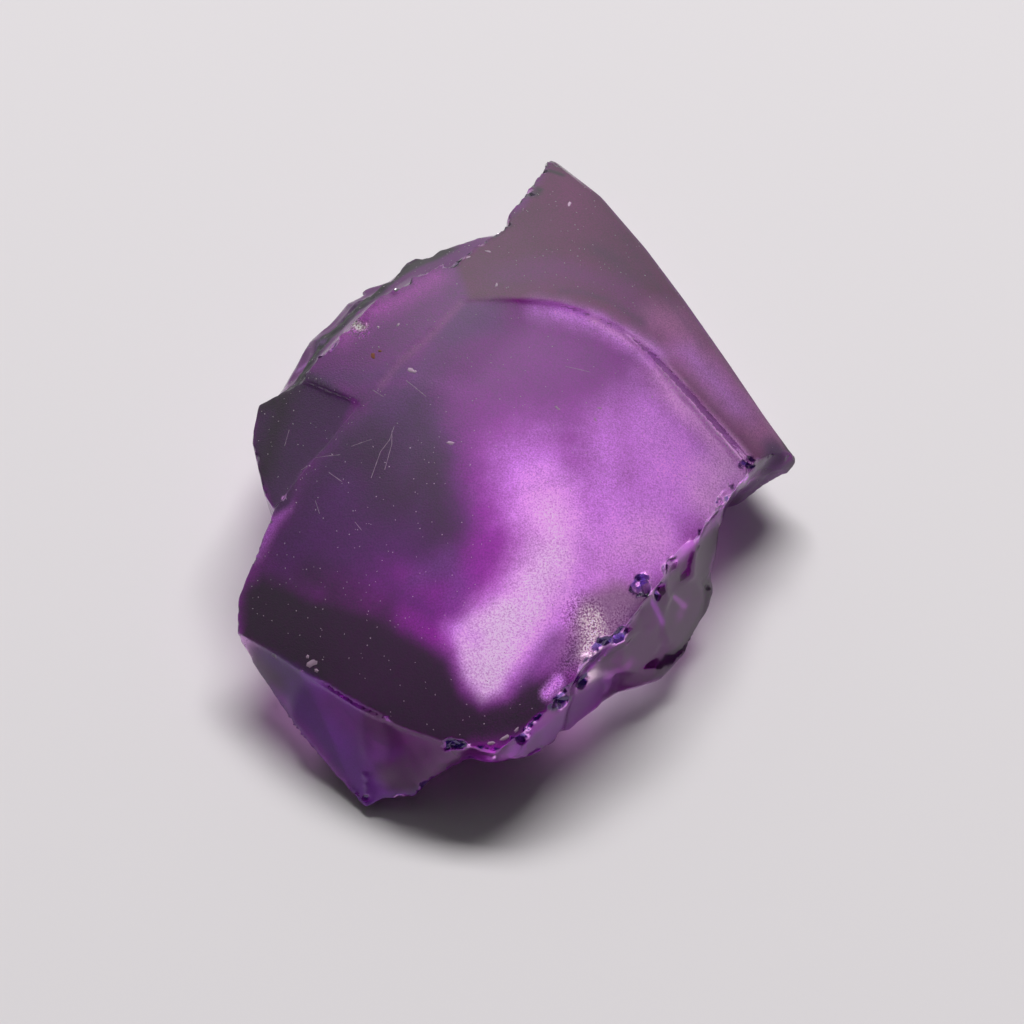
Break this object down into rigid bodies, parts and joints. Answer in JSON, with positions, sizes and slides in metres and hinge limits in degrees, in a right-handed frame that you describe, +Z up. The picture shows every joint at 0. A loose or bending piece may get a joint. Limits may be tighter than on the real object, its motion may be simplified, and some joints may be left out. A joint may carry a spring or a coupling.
{
  "type": "rough alexandrite",
  "caption": "Broken piece of a violet see-through crystal with a domed frosted top and conchoidal broken sides, resting on its flat underside.",
  "frame": {"origin": "middle of the stone's box in plan, at the level of its flat underside, z = 0", "axes": "+Z up, out of the domed skin; +Y along the stone's length, towards its pointed tip; +X towards the stepped right corner"},
  "size_m": [0.0253, 0.0322, 0.0096],
  "materials": {
    "violet_crystal": "frosted skin on top, glossy broken sides"
  },
  "bodies": {
    "root": {"rough_alexandrite": "violet_crystal"}
  },
  "joints": []
}
